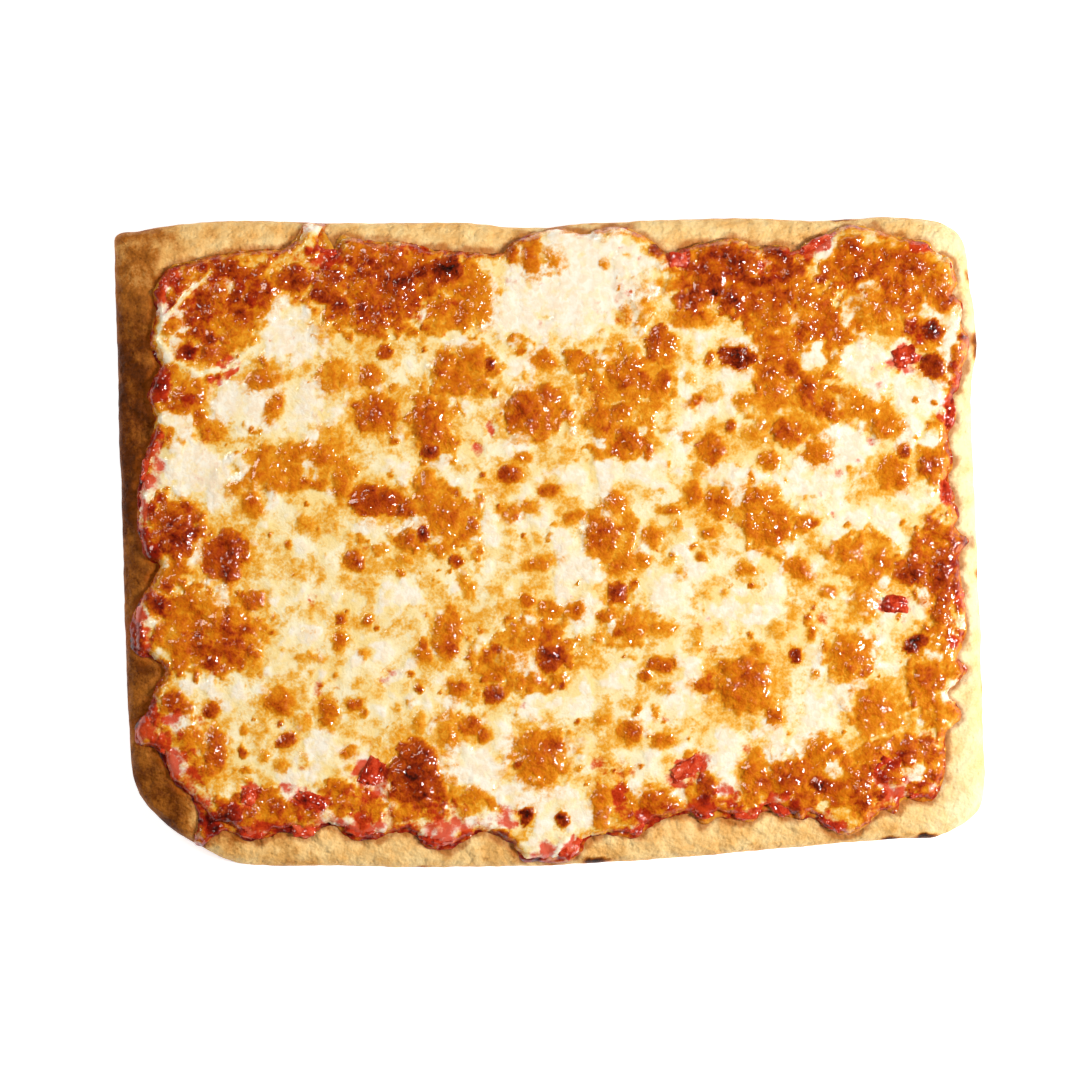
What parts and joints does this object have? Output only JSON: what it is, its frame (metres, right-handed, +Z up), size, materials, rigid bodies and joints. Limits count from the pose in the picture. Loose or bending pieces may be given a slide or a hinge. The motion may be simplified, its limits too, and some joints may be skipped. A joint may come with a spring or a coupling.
{
  "type": "sheet pizza",
  "caption": "Whole rectangular sheet pizza: a bread base with tomato sauce, tomato pieces and a full cover of melted cheese with browned blisters.",
  "frame": {"origin": "middle of the outline, on the surface the pizza lies on", "axes": "+X along the long side, +Y along the short side, +Z up through the toppings"},
  "size_m": [0.407, 0.3042, 0.0246],
  "materials": {
    "bread": "matt baked bread, tan with darker streaks",
    "sauce": "wet, oily red sauce",
    "cheese": "glossy melted cheese, cream to golden brown",
    "tomato": "wet cooked tomato flesh"
  },
  "bodies": {
    "root": {"bread_base": "bread", "tomato_sauce": "sauce", "melted_cheese": "cheese", "tomato_piece_01": "tomato", "tomato_piece_02": "tomato", "tomato_piece_03": "tomato", "tomato_piece_04": "tomato", "tomato_piece_05": "tomato", "tomato_piece_06": "tomato", "tomato_piece_07": "tomato", "tomato_piece_08": "tomato", "tomato_piece_09": "tomato", "tomato_piece_10": "tomato", "tomato_piece_11": "tomato", "tomato_piece_12": "tomato", "tomato_piece_13": "tomato", "tomato_piece_14": "tomato", "tomato_piece_15": "tomato", "tomato_piece_16": "tomato", "tomato_piece_17": "tomato", "tomato_piece_18": "tomato", "tomato_piece_19": "tomato", "tomato_piece_20": "tomato", "tomato_piece_21": "tomato", "tomato_piece_22": "tomato", "tomato_piece_23": "tomato", "tomato_piece_24": "tomato", "tomato_piece_25": "tomato", "tomato_piece_26": "tomato", "tomato_piece_27": "tomato", "tomato_piece_28": "tomato"}
  },
  "joints": []
}
